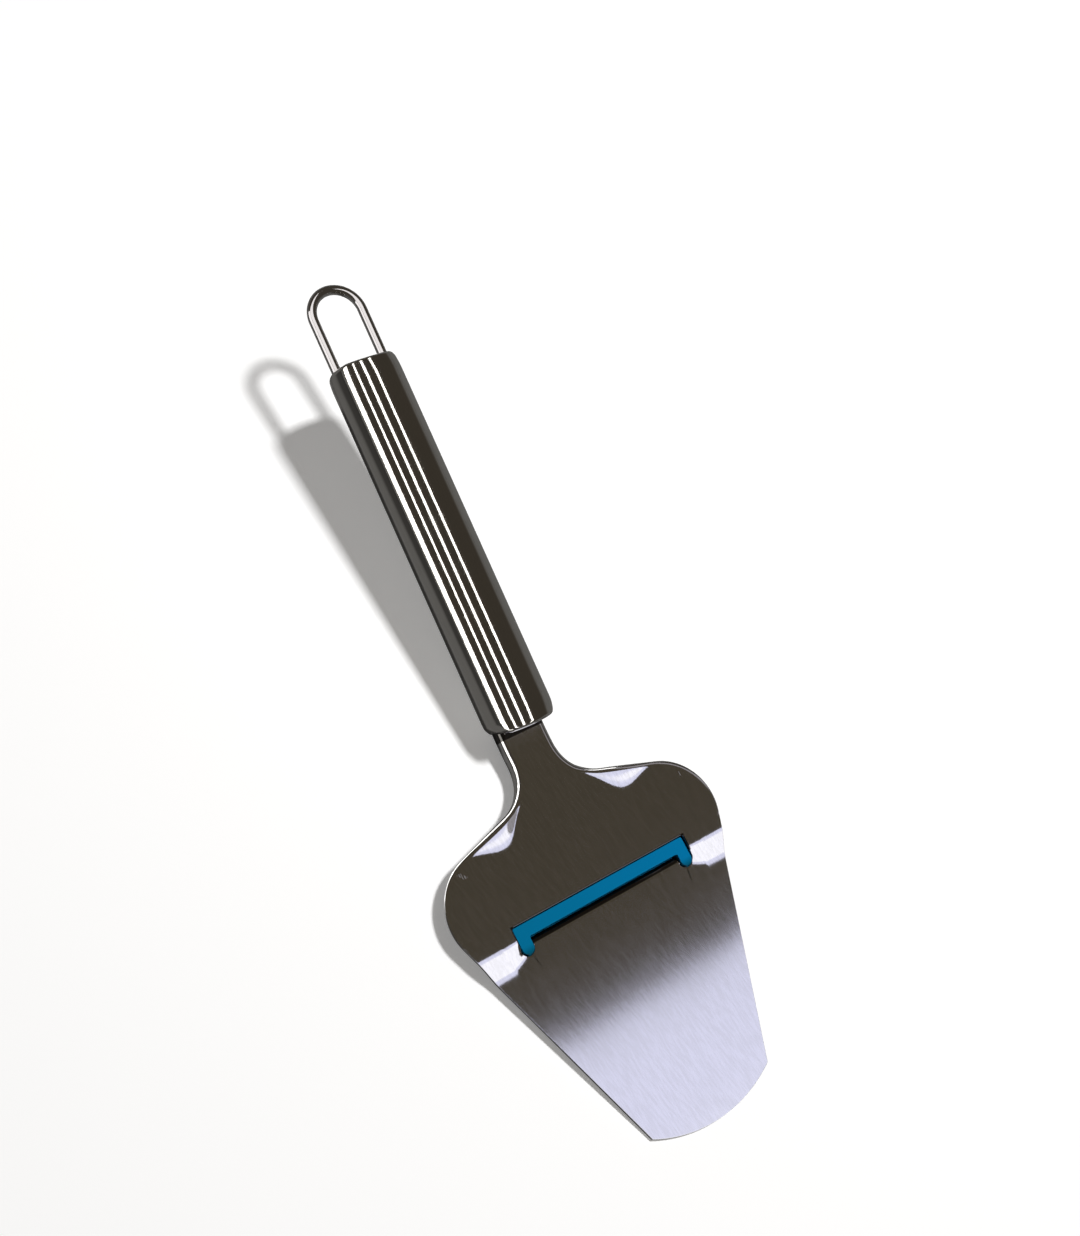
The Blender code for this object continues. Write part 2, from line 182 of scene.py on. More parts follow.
# The tool leans on the front of its handle and the tip of its blade. In its own frame the handle lies along Y,
# with the middle of its front face at the origin; this is where that frame stands.
LEAN = math.radians(10.5119)
stance = Matrix.Translation((0.0, -0.0076680, 0.0087773)) @ Matrix.Rotation(LEAN, 4, "X")

# Lamps: each kind of steel mirrors lamps of its own, which shine on nothing else. The handle has four long strips,
# parallel to it, which draw its white lines. Each strip has a turn round the handle and a width.
LAMP_DISTANCE = 1.6
STRIPS = [(-78.0, 0.39), (-46.3, 0.14), (-18.4, 0.18), (12.2, 0.17)]
STRIP_LENGTH = 3.2
STRIP_LIGHT = 4.0
STRIP_COLOUR = (1.0, 0.99, 0.96)
STRIP_MIDDLE = -0.4


def hang(name, width, length, light, colour, place):
    """A flat rectangular lamp that shines down its own -Z, as bright as its light says from every side."""
    lamp = bpy.data.lights.new(name, "AREA")
    lamp.shape = "RECTANGLE"
    lamp.size = width
    lamp.size_y = length
    lamp.energy = light * width * length * math.pi
    lamp.color = colour
    held = bpy.data.objects.new(name, lamp)
    bpy.context.collection.objects.link(held)
    held.matrix_world = place
    held.visible_camera = False
    return held


def reserve(lamps, name):
    """Lets some lamps shine on one collection of pieces alone, and only for their gloss."""
    pieces = bpy.data.collections.new(name)
    for lamp in lamps:
        lamp.visible_diffuse = False
        lamp.light_linking.receiver_collection = pieces
    return pieces


def over_handle(turn, y):
    """A place over the handle, turned round its axis."""
    return stance @ Matrix.Rotation(math.radians(turn), 4, "Y") @ Matrix.Translation((0.0, y, LAMP_DISTANCE))


strips = [hang("strip_%d" % i, width, STRIP_LENGTH, STRIP_LIGHT, STRIP_COLOUR, over_handle(turn, STRIP_MIDDLE))
          for i, (turn, width) in enumerate(STRIPS)]
under_strips = reserve(strips, "under_strips")

# The wire has two broad pale lamps, from the left and from above, each with a turn round the handle and a light.
BROAD_SIZE = 1.9
BROAD_COLOUR = (1.0, 0.97, 0.98)
BROAD_MIDDLE = 0.75
sheets = [hang(name, BROAD_SIZE, BROAD_SIZE, light, BROAD_COLOUR, over_handle(turn, BROAD_MIDDLE))
          for name, turn, light in [("left_sheet", -78.0, 1.30), ("top_sheet", -12.0, 1.15)]]
under_sheets = reserve(sheets, "under_sheets")

# The blade has a dim ceiling, a dim lamp on the right, a ring of low ones from the left round to the back, for its
# folded rim, and two panels in front, which its tip and its ramps mirror. Each low lamp has a turn round the tool, a
# rise over the floor, a height and a light, and each panel its two ends along Y, a light and a colour.
LOW_LAMPS = [(90, 28, 0.75, 3.0), (60, 27, 0.65, 3.0), (30, 26, 0.60, 3.0), (0, 25, 0.50, 3.0),
             (-30, 24, 0.45, 2.5)]
LOW_WIDTH = 0.95
LOW_COLOUR = (1.0, 1.0, 0.98)
PANELS = [("near_panel", -0.181, -0.30, 1.23, (0.745, 0.77, 1.0)),
          ("far_panel", -0.30, -1.15, 1.5, (0.90, 0.91, 1.0))]
PANEL_WIDTH = 0.72
PANEL_X = 0.24
PANEL_Z = 0.60
blade_lamps = [hang("ceiling", width=3.6, length=3.6, light=0.022, colour=(1.0, 0.82, 0.45),
                    place=Matrix.Translation((0.9, 0.3, 2.6))),
               hang("right_line", width=0.40, length=2.6, light=0.35, colour=(0.92, 0.90, 1.0),
                    place=over_handle(turn=52.0, y=0.75))]
for turn, rise, height, light in LOW_LAMPS:
    around = Matrix.Rotation(math.radians(turn), 4, "Z") @ Matrix.Rotation(math.radians(rise - 90), 4, "X")
    place = around @ Matrix.Translation((0.0, 0.0, LAMP_DISTANCE))
    blade_lamps.append(hang("low_%d" % turn, LOW_WIDTH, height, light, LOW_COLOUR, place))
for name, near, far, light, colour in PANELS:
    ahead = Matrix.Translation((PANEL_X, (near + far) / 2, PANEL_Z))
    blade_lamps.append(hang(name, PANEL_WIDTH, near - far, light, colour, ahead))
under_panels = reserve(blade_lamps, "under_panel")

# A small strong lamp from the right lights the floor and the colours of every piece, and shows in no gloss.
KEY_SIZE = 0.15
KEY_LIGHT = 178.0
key_place = Matrix.Rotation(math.radians(20.0), 4, "Y") @ Matrix.Translation((0.0, 0.1, 1.2))
key = hang("key", KEY_SIZE, KEY_SIZE, KEY_LIGHT, (1.0, 1.0, 1.0), key_place)
key.visible_glossy = False


# Handle tube: a straight length of thin stainless tube, welded to the domed caps at both ends and polished
# bright all over, so that the welds are gone and only faint lengthwise marks of the polishing belt are left.
HANDLE_LENGTH = 0.103
HANDLE_RADIUS = 0.0095
HANDLE_SIDES = 160
WALL = 0.0008
CAP_DEPTH = 0.005
SMOOTH_BELOW = math.radians(28.0)


def added(primitive, **settings):
    """A new basic shape, the only one selected."""
    bpy.ops.object.select_all(action="DESELECT")
    primitive(**settings)
    return bpy.context.object


def choose(piece):
    """Makes a piece the only one selected, and the active one."""
    bpy.ops.object.select_all(action="DESELECT")
    piece.select_set(True)
    bpy.context.view_layer.objects.active = piece


def thicken(piece, wall):
    """Gives an open shell its wall, inwards."""
    solid = piece.modifiers.new("wall", "SOLIDIFY")
    solid.thickness = wall
    solid.offset = -1.0
    bpy.ops.object.modifier_apply(modifier="wall")


def finished(piece, name, finish, body, node, place=stance):
    """Names a piece, puts it where its frame stands, gives it its finish, and hangs it on its body."""
    choose(piece)
    piece.name = name
    piece.data.name = name
    piece.matrix_world = place @ piece.matrix_world
    bpy.ops.object.transform_apply(location=True, rotation=True, scale=True)
    bpy.ops.object.shade_smooth_by_angle(angle=SMOOTH_BELOW)
    piece.data.materials.clear()
    piece.data.materials.append(finish)
    even = piece.modifiers.new("flats", "WEIGHTED_NORMAL")
    even.weight = 60
    even.keep_sharp = True
    bpy.ops.object.modifier_apply(modifier="flats")
    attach(piece, body)
    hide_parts(node)


def polished(name, colour, roughness, grain):
    """Polished stainless steel: lengthwise belt marks, as deep as the grain says, and patches dulled by handling."""
    made = bpy.data.materials.new(name)
    nodes = Nodes(made)
    where = nodes.node("ShaderNodeTexCoord", {}, {}, "Object")
    stretch = {"Vector": where, "Rotation": (-LEAN, 0.0, 0.0), "Scale": (1.0, 0.012, 1.0)}
    along = nodes.node("ShaderNodeMapping", {}, stretch)
    marks = nodes.noise(along, scale=3800.0, detail=3.0, roughness=0.6)
    wear = nodes.noise(where, scale=70.0, detail=4.0, roughness=0.55).between(0.50, 0.75)
    darker = tuple(0.90 * value for value in colour)
    shader = nodes.tree.nodes["Principled BSDF"]
    shader.inputs["Metallic"].default_value = 1.0
    tone = nodes.mix(marks.between(0.35, 0.75) * 0.6 + wear * 0.3, (*colour, 1.0), (*darker, 1.0))
    nodes.feed(shader.inputs["Base Color"], tone)
    nodes.feed(shader.inputs["Roughness"], roughness + marks.between(0.4, 0.8) * 0.04 + wear * 0.05)
    nodes.emboss(shader, marks, strength=grain, distance=0.00002)
    return made


handle_steel = polished("handle_steel", (0.66, 0.64, 0.61), roughness=0.055, grain=0.12)
tube = added(bpy.ops.mesh.primitive_cylinder_add,
             vertices=HANDLE_SIDES, radius=HANDLE_RADIUS, depth=HANDLE_LENGTH - 2 * CAP_DEPTH,
             end_fill_type="NOTHING", location=(0.0, HANDLE_LENGTH / 2, 0.0), rotation=(math.pi / 2, 0.0, 0.0))
thicken(tube, WALL)
finished(tube, "tube", handle_steel, "slicer", "handle_tube")
under_strips.objects.link(tube)


# Caps: a shallow cup pressed from the same steel closes each end of the tube. The rear one has two drilled holes
# for the wire, the front one an opening for the neck of the blade; both are welded on and polished with the tube.
CAP_ROUND = 0.0034
CAP_TAPER = 0.0005
WIRE_RADIUS = 0.0013
WIRE_SPACING = 0.0141
HOLE_PLAY = 0.00012
TINY = 1e-5

# A cap's edge is less rounded above and below. It reaches its full round between these shares of the radius.
CAP_FLAT_ROUND = 0.0010
CAP_SIDES = (0.72, 0.90)


def eased(value, low, high):
    """Nought below one value, one above another, and eased between them."""
    share = min(max((value - low) / (high - low), 0.0), 1.0)
    return share * share * (3 - 2 * share)


def cup(face_y, inward, side_round, top_back, low_back):
    """A round cup with its flat face at face_y and its open side towards the tube. It tapers towards its face.

    The face is set back by top_back at its top, and it leans: by low_back at its sides, by twice that at its foot.
    """
    made = added(bpy.ops.mesh.primitive_cylinder_add,
                 vertices=HANDLE_SIDES, radius=HANDLE_RADIUS, depth=CAP_DEPTH,
                 location=(0.0, face_y + inward * CAP_DEPTH / 2, 0.0), rotation=(inward * math.pi / 2, 0.0, 0.0))
    bpy.ops.object.transform_apply(location=True, rotation=True, scale=True)
    bpy.ops.object.mode_set(mode="EDIT")
    bpy.ops.mesh.select_all(action="DESELECT")
    mesh = bmesh.from_edit_mesh(made.data)
    open_side = [face for face in mesh.faces if len(face.verts) > 4 and inward * face.normal.y > 0.5]
    bmesh.ops.delete(mesh, geom=open_side, context="FACES_ONLY")
    for edge in mesh.edges:
        edge.select_set(all(abs(vert.co.y - face_y) < TINY for vert in edge.verts))
    bmesh.update_edit_mesh(made.data)
    bpy.ops.mesh.bevel(offset=CAP_ROUND, segments=14, affect="EDGES")
    bpy.ops.object.mode_set(mode="OBJECT")
    for vert in made.data.vertices:
        x, y, z = vert.co
        off_axis = math.hypot(x, z)
        depth = abs(y - face_y)
        kept = 1.0
        if depth < CAP_ROUND - TINY:
            side = eased(abs(x) / off_axis, *CAP_SIDES)
            kept = (CAP_FLAT_ROUND + (side_round - CAP_FLAT_ROUND) * side) / CAP_ROUND
        near_face = 1 - depth * kept / CAP_DEPTH
        moved = HANDLE_RADIUS - (HANDLE_RADIUS - off_axis) * kept - CAP_TAPER * near_face ** 2
        up = max(z, 0.0) / off_axis
        set_back = near_face * (top_back * up ** 2 + low_back * (1 - z / off_axis))
        vert.co = (x * moved / off_axis, face_y + inward * (depth * kept + set_back), z * moved / off_axis)
    thicken(made, WALL)
    return made


def combine(piece, other, operation):
    """Cuts another shape out of a piece, or joins it on, and clears the other shape away."""
    step = piece.modifiers.new("shape", "BOOLEAN")
    step.object = other
    step.operation = operation
    step.solver = "EXACT"
    choose(piece)
    bpy.ops.object.modifier_apply(modifier="shape")
    bpy.data.objects.remove(other)


def shown(name, mesh):
    """Puts a finished mesh in the scene."""
    made = bpy.data.objects.new(name, bpy.data.meshes.new(name))
    bpy.context.collection.objects.link(made)
    mesh.to_mesh(made.data)
    mesh.free()
    return made


def prism(name, ends):
    """A solid between two rings of points."""
    mesh = bmesh.new()
    first, last = [[mesh.verts.new(point) for point in ring] for ring in ends]
    mesh.faces.new(first)
    mesh.faces.new(last)
    for i in range(len(first)):
        j = (i + 1) % len(first)
        mesh.faces.new((first[i], first[j], last[j], last[i]))
    bmesh.ops.recalc_face_normals(mesh, faces=mesh.faces)
    return shown(name, mesh)


rear = cup(HANDLE_LENGTH, -1.0, side_round=0.0019, top_back=0.0010, low_back=0.0)
for side in (-1, 1):
    drill = added(bpy.ops.mesh.primitive_cylinder_add,
                  vertices=48, radius=WIRE_RADIUS + HOLE_PLAY, depth=3 * CAP_DEPTH,
                  location=(side * WIRE_SPACING / 2, HANDLE_LENGTH, 0.0), rotation=(math.pi / 2, 0.0, 0.0))
    combine(rear, drill, "DIFFERENCE")
finished(rear, "rear_cup", handle_steel, "slicer", "rear_cap")
under_strips.objects.link(rear)

# The front cap's mouth has the outline of the neck: a channel with rounded shoulders and two short flanges.
NECK_HALF = 0.00705
NECK_DROP = 0.001
NECK_BEND = 0.0022
NECK_FLANGE = 0.001
SHEET = 0.001
MOUTH_PLAY = 0.0002
MOUTH_STEPS = 12
front = cup(0.0, 1.0, side_round=0.0034, top_back=0.0, low_back=0.0008)
outer = NECK_BEND + MOUTH_PLAY
inner = NECK_BEND - SHEET - MOUTH_PLAY
turns = [math.radians(90.0 * step / MOUTH_STEPS) for step in range(MOUTH_STEPS + 1)]
bend_x = NECK_HALF - NECK_BEND
foot = -NECK_BEND - NECK_FLANGE - MOUTH_PLAY
right = [(bend_x + outer, foot)]
right += [(bend_x + outer * math.cos(t), -NECK_BEND + outer * math.sin(t)) for t in turns]
under = [(bend_x + inner * math.cos(t), -NECK_BEND + inner * math.sin(t)) for t in reversed(turns)]
under += [(bend_x + inner, foot)]
ring = right + [(-x, z) for x, z in reversed(right)] + [(-x, z) for x, z in reversed(under)] + under
mouth = prism("mouth", [[(x, y, z - NECK_DROP) for x, z in ring] for y in (-CAP_DEPTH, CAP_DEPTH)])
combine(front, mouth, "DIFFERENCE")
finished(front, "front_cup", handle_steel, "slicer", "front_cap")
under_strips.objects.link(front)


# Hanging loop: one length of bright drawn stainless wire, bent into a U round a former. Both legs pass through the
# rear cap and are held by the weld inside.
LOOP_REACH = 0.0209
LEG_INSIDE = 0.018
wire_steel = polished("wire_steel", (0.70, 0.69, 0.68), roughness=0.07, grain=0.02)
bend_y = HANDLE_LENGTH + LOOP_REACH - WIRE_SPACING / 2
straight = LEG_INSIDE + LOOP_REACH - WIRE_SPACING / 2
loop = added(bpy.ops.mesh.primitive_circle_add,
             vertices=40, radius=WIRE_RADIUS, fill_type="NGON",
             location=(WIRE_SPACING / 2, HANDLE_LENGTH - LEG_INSIDE, 0.0), rotation=(math.pi / 2, 0.0, 0.0))
bpy.ops.object.transform_apply(location=True, rotation=True, scale=True)
bpy.ops.object.mode_set(mode="EDIT")
bpy.ops.mesh.select_all(action="SELECT")
bpy.ops.mesh.extrude_region_move(TRANSFORM_OT_translate={"value": (0.0, straight, 0.0)})
bpy.ops.mesh.spin(steps=64, angle=math.pi, center=(0.0, bend_y, 0.0), axis=(0.0, 0.0, -1.0))
bpy.ops.mesh.extrude_region_move(TRANSFORM_OT_translate={"value": (0.0, -straight, 0.0)})
bpy.ops.mesh.select_all(action="SELECT")
bpy.ops.mesh.remove_doubles(threshold=1e-6)
bpy.ops.mesh.normals_make_consistent(inside=False)
bpy.ops.object.mode_set(mode="OBJECT")
finished(loop, "loop", wire_steel, "slicer", "hanging_loop")
under_sheets.objects.link(loop)


# Blade: one piece of 1 mm stainless sheet, blanked and pressed. Its neck is folded down at the sides into a channel,
# the fold fades out along the shoulders, and the part in front of the slot is pressed down and ground to a lip.
TANG = 0.030
BEND_START = 0.0005
BEND_END = 0.0075
BLADE_RISE = math.radians(8.0)
NECK_FILLET = 0.012
SHOULDER_START = 0.0135
SHOULDER_ANGLE = math.radians(17.3)
SHOULDER_ROUND = 0.015
SHOULDER_STEPS = 24
SIDE_ANGLE = math.radians(19.5)
SIDE_LENGTH = 0.1034
TIP_WIDTH = 0.0376
TIP_BULGE = 0.0048
EDGE_RIM = 0.0003
SLOT_START = 0.0433
SLOT_END = 0.0474
SLOT_HALF = 0.0272
SLOT_CORNER = 0.0008
LEAST_CORNER = 0.0003
LEG_WIDTH = 0.004
LEG_DEPTH = 0.0039
LIP_CORNER = 0.0005
LIP_BEVEL = 0.0013
LIP_EDGE = 0.00025

# The width, angle and flange of the fold at the end of the neck and along the shoulder, where it fades out.
FOLDS = [(NECK_BEND, math.pi / 2, 0.0007), (0.0014, math.radians(48.0), 0.0),
         (0.0012, math.radians(36.0), 0.0), (0.0009, math.radians(1.0), 0.0)]
FOLD_STEPS = 12

# The ramps beside the slot: where they start and end next to it, how far out they go on widening, and how much
# earlier they start and later they end there.
PRESS_DEPTH = 0.0015
RAMP_START = 0.0465
RAMP_END = 0.0513
RAMP_WIDENS = 0.010
RAMP_EARLIER = 0.0003
RAMP_EARLY_BY = 0.6
RAMP_LATER = 0.0035
RAMP_CURVE = 0.6
PRESS_MARGIN = 0.0003

# The drawn-up patches on the shoulders: their slope, their width along the blade where they are narrow and what the
# wide part adds, the crest next to the rim, and where across the blade they rise, widen, narrow and fall.
DRAWN_SLOPE = 0.155
DRAWN_WIDTH = 0.0012
DRAWN_WIDER = 0.0056
DRAWN_CREST = 0.0001
DRAWN_RISES = (0.0085, 0.0115)
DRAWN_WIDENS = (0.0095, 0.0180)
DRAWN_NARROWS = (0.0180, 0.0300)
DRAWN_FALLS = (0.0260, 0.0330)

# The lines along which the plate is divided, so that it can be bent: rows across it, and two bands of columns. Each
# band has a start and an end along the blade, the place of its first column and the number of its columns.
NECK_ROWS = [0.0005 * i for i in range(1, 16)]
PLATE_ROWS = [0.0150 + 0.00055 * i for i in range(75)] + [0.060, 0.068, 0.076, 0.084, 0.092, 0.098]
BANDS = [(0.0145, 0.0335, 0.006, 28), (0.0445, 0.0556, 0.0172, 16)]
COLUMN = 0.0009
STATION_GAP = 0.0002


def arc(centre, radius, start, end, step=math.radians(2.5)):
    """Points on an arc, both ends included."""
    steps = max(3, math.ceil(abs(end - start) / step))
    angles = [start + (end - start) * i / steps for i in range(steps + 1)]
    return [Vector((centre[0] + radius * math.cos(a), centre[1] + radius * math.sin(a))) for a in angles]


def rounded(before, corner, after, radius):
    """The arc that rounds the corner between two straight lines."""
    to_before = (before - corner).normalized()
    to_after = (after - corner).normalized()
    half = to_before.angle(to_after) / 2
    centre = corner + (to_before + to_after).normalized() * radius / math.sin(half)
    first = corner + to_before * radius / math.tan(half) - centre
    last = corner + to_after * radius / math.tan(half) - centre
    start = math.atan2(first.y, first.x)
    return arc(centre, radius, start, start + math.atan2(first.x * last.y - first.y * last.x, first.dot(last)))


def edge_stations():
    """The blade's right edge from tang to side: point (x, s), way inwards, and the fold's width, angle, flange."""
    neck_corner = Vector((NECK_HALF, SHOULDER_START + NECK_HALF * math.tan(SHOULDER_ANGLE)))
    along = Vector((math.cos(SHOULDER_ANGLE), math.sin(SHOULDER_ANGLE)))
    tip_corner = Vector((TIP_WIDTH / 2, SIDE_LENGTH))
    up_side = Vector((math.sin(SIDE_ANGLE), -math.cos(SIDE_ANGLE)))
    between = tip_corner - neck_corner
    reach = (between.x * up_side.y - between.y * up_side.x) / (along.x * up_side.y - along.y * up_side.x)
    shoulder_corner = neck_corner + along * reach
    neck_arc = rounded(Vector((NECK_HALF, 0.0)), neck_corner, shoulder_corner, NECK_FILLET)
    shoulder_arc = rounded(neck_corner, shoulder_corner, tip_corner, SHOULDER_ROUND)
    between_arcs = [neck_arc[-1].lerp(shoulder_arc[0], i / SHOULDER_STEPS) for i in range(1, SHOULDER_STEPS)]
    stations = [(Vector((NECK_HALF, s)), FOLDS[0]) for s in [-TANG] + NECK_ROWS]
    stations = [station for station in stations if station[0].y < neck_arc[0].y - STATION_GAP]
    for i, stretch in enumerate((neck_arc, between_arcs, shoulder_arc)):
        first = 1 if stretch is between_arcs else 0
        count = len(stretch) - 1 + 2 * first
        for j, point in enumerate(stretch):
            share = (j + first) / count
            fold = [a + (b - a) * eased(share, 0.0, 1.0) for a, b in zip(FOLDS[i], FOLDS[i + 1])]
            stations.append((point, fold))
    made = []
    for i, (point, fold) in enumerate(stations):
        way = (stations[min(i + 1, len(stations) - 1)][0] - stations[max(i - 1, 0)][0]).normalized()
        made.append((point, Vector((-way.y, way.x)), fold))
    return made


def fold_row(point, inwards, fold):
    """The top of the sheet across the fold at one station, from the flat out to the rim, as (x, -s, z)."""
    width, angle, flange = fold
    flange += EDGE_RIM
    reach = width + flange * math.cos(angle)
    row = []
    for i in range(FOLD_STEPS + 2):
        turned = angle * min(i / FOLD_STEPS, 1.0)
        past_bend = flange if i > FOLD_STEPS else 0.0
        across = width * math.sin(turned) / math.sin(angle) + past_bend * math.cos(angle)
        drop = width * (1 - math.cos(turned)) / math.sin(angle) + past_bend * math.sin(angle)
        top = point + inwards * (reach - across)
        row.append((top.x, -top.y, -drop))
    return row


def slot_edge(inset):
    """Right half of the slot's edge as (x, s), from the centre line round to the centre line."""
    side = SLOT_HALF - inset
    inner_side = SLOT_HALF - LEG_WIDTH + inset
    leg_radius = (side - inner_side) / 2
    leg_centre = (side - leg_radius, SLOT_END + LEG_DEPTH - inset - leg_radius)
    corner = max(SLOT_CORNER - inset, LEAST_CORNER)
    top = SLOT_START + inset
    lip_centre = (inner_side - LIP_CORNER, SLOT_END - inset + LIP_CORNER)
    points = [Vector((0.0, top))]
    points += arc((side - corner, top + corner), corner, -math.pi / 2, 0.0, math.radians(12.0))
    points += arc(leg_centre, leg_radius, 0.0, math.pi, math.radians(6.0))
    points += arc(lip_centre, LIP_CORNER, 0.0, -math.pi / 2, math.radians(15.0))
    return points + [Vector((0.0, SLOT_END - inset))]


def pressed(x, s):
    """How far the plate lies below the neck's level: by the ramps beside the slot, and all of it along the lip."""
    out = min(max((abs(x) - SLOT_HALF) / RAMP_WIDENS, 0.0), 1.0)
    start = RAMP_START - RAMP_EARLIER * eased(out, 0.0, RAMP_EARLY_BY)
    end = RAMP_END + RAMP_LATER * out ** RAMP_CURVE
    lip = min(max((SLOT_HALF - abs(x)) / LEG_WIDTH * 2, 0.0), 1.0) if s > SLOT_END - PRESS_MARGIN else 0.0
    return PRESS_DEPTH * max(eased(s, start, end), lip)


def drawn(x, s):
    """How far the sheet is drawn up inside the shoulder's rim, next to the neck; it slopes down towards the tip."""
    out = abs(x)
    rim = SHOULDER_START + out * math.tan(SHOULDER_ANGLE)
    along = (s - rim) * math.cos(SHOULDER_ANGLE)
    width = DRAWN_WIDTH + DRAWN_WIDER * eased(out, *DRAWN_WIDENS) * (1 - eased(out, *DRAWN_NARROWS))
    share = eased(out, *DRAWN_RISES) * (1 - eased(out, *DRAWN_FALLS))
    return DRAWN_SLOPE * width * share * (1 - eased(along, DRAWN_CREST, width))


def divide(mesh, faces, point, normal):
    """Divides some faces along a plane, and returns them with their new parts."""
    geometry = faces + list({edge for face in faces for edge in face.edges})
    geometry += list({vert for face in faces for vert in face.verts})
    parts = bmesh.ops.bisect_plane(mesh, geom=geometry, dist=1e-7, plane_co=point, plane_no=normal)
    return [part for part in parts["geom"] if isinstance(part, bmesh.types.BMFace)]


mesh = bmesh.new()
rows = [[mesh.verts.new(point) for point in fold_row(*station)] for station in edge_stations()]
for row, next_row in zip(rows, rows[1:]):
    for i in range(len(row) - 1):
        mesh.faces.new((row[i], row[i + 1], next_row[i + 1], next_row[i]))
blade_end = SIDE_LENGTH + TIP_BULGE
tip_radius = (TIP_WIDTH * TIP_WIDTH / 4 + TIP_BULGE * TIP_BULGE) / (2 * TIP_BULGE)
tip_turn = math.asin(TIP_WIDTH / 2 / tip_radius)
tip = arc((0.0, blade_end - tip_radius), tip_radius, math.pi / 2 - tip_turn, math.pi / 2, math.radians(1.0))
outline = [mesh.verts.new((point.x, -point.y, 0.0)) for point in tip + slot_edge(0.0)[::-1]]
back = mesh.verts.new((0.0, TANG, 0.0))
plate = mesh.faces.new([back] + [row[0] for row in rows] + rows[-1][1:] + outline)
faces = bmesh.ops.triangulate(mesh, faces=[plate])["faces"]
for s in NECK_ROWS + PLATE_ROWS:
    faces = divide(mesh, faces, (0.0, -s, 0.0), (0.0, 1.0, 0.0))
for low, high, first, count in BANDS:
    band = [face for face in faces if low < -face.calc_center_median().y < high]
    faces = [face for face in faces if face not in band]
    for i in range(count):
        band = divide(mesh, band, (first + COLUMN * i, 0.0, 0.0), (1.0, 0.0, 0.0))

# Points that nearly meet round the slot would show as streaks in the mirroring ramps, so they are merged. Those at
# the centre line stay, because the two halves join there.
MERGE_ACROSS = (0.002, 0.033)
MERGE_ALONG = (0.041, 0.057)
MERGE_BELOW = 0.0001
close = [vert for vert in mesh.verts
         if MERGE_ACROSS[0] < vert.co.x < MERGE_ACROSS[1] and MERGE_ALONG[0] < -vert.co.y < MERGE_ALONG[1]]
bmesh.ops.remove_doubles(mesh, verts=close, dist=MERGE_BELOW)
for vert in mesh.verts:
    if -vert.co.y > SLOT_START:
        vert.co.z = -pressed(vert.co.x, -vert.co.y)
    vert.co.z += drawn(vert.co.x, -vert.co.y)
bmesh.ops.triangulate(mesh, faces=[face for face in mesh.faces if len(face.verts) > 4])
bmesh.ops.recalc_face_normals(mesh, faces=mesh.faces)
if sum(face.normal.z for face in mesh.faces) < 0:
    bmesh.ops.reverse_faces(mesh, faces=mesh.faces)
blade = shown("blade_plate", mesh)
choose(blade)
mirror = blade.modifiers.new("half", "MIRROR")
mirror.use_clip = True
mirror.merge_threshold = TINY
bpy.ops.object.modifier_apply(modifier="half")
tops = len(blade.data.vertices)
thicken(blade, SHEET)
ground = SLOT_END + LIP_BEVEL
for vert in blade.data.vertices[:tops]:
    if SLOT_END - TINY < -vert.co.y < ground and abs(vert.co.x) < SLOT_HALF - LEG_WIDTH / 2:
        vert.co.z -= (SHEET - LIP_EDGE) * (ground + vert.co.y) / LIP_BEVEL


def soften(piece, width, segments, clamped):
    """Takes the sharpness off a piece's edges."""
    edges = piece.modifiers.new("edges", "BEVEL")
    edges.width = width
    edges.segments = segments
    edges.limit_method = "ANGLE"
    edges.angle_limit = math.radians(50.0)
    edges.use_clamp_overlap = clamped
    bpy.ops.object.modifier_apply(modifier="edges")


soften(blade, width=0.00012, segments=2, clamped=False)

# The bend behind the mouth of the handle, over which the neck starts to rise.
bend_radius = (BEND_END - BEND_START) / BLADE_RISE
for vert in blade.data.vertices:
    s, z = -vert.co.y, vert.co.z
    turned = BLADE_RISE * min(max((s - BEND_START) / (BEND_END - BEND_START), 0.0), 1.0)
    before = min(s, BEND_START)
    after = max(s - BEND_END, 0.0)
    y = -before - bend_radius * math.sin(turned) - after * math.cos(turned) + z * math.sin(turned)
    rise = bend_radius * (1 - math.cos(turned)) + after * math.sin(turned) + z * math.cos(turned)
    vert.co = (vert.co.x, y, rise - NECK_DROP)

# The frame of the slot: its origin in the middle of the slot, on the plate behind it, and Y towards the handle.
middle = (SLOT_START + SLOT_END) / 2
rise_y = -(BEND_START + bend_radius * math.sin(BLADE_RISE)) - (middle - BEND_END) * math.cos(BLADE_RISE)
rise_z = bend_radius * (1 - math.cos(BLADE_RISE)) + (middle - BEND_END) * math.sin(BLADE_RISE) - NECK_DROP
in_slot = stance @ Matrix.Translation((0.0, rise_y, rise_z)) @ Matrix.Rotation(-BLADE_RISE, 4, "X")


def places(nodes, where, frame_of):
    """Where a point lies across and along a piece: x and y in the piece's own frame."""
    back = frame_of.inverted()
    inputs = {"Vector": where, "Rotation": back.to_euler(), "Location": back.translation}
    own = nodes.node("ShaderNodeMapping", {}, inputs)
    return [nodes.axis(own, name) for name in "XY"]


def outside(x, y, centre, half):
    """How far a point lies outside a rectangle, measured across and along."""
    return (abs(x - centre[0]) - half[0]).most(abs(y - centre[1]) - half[1])


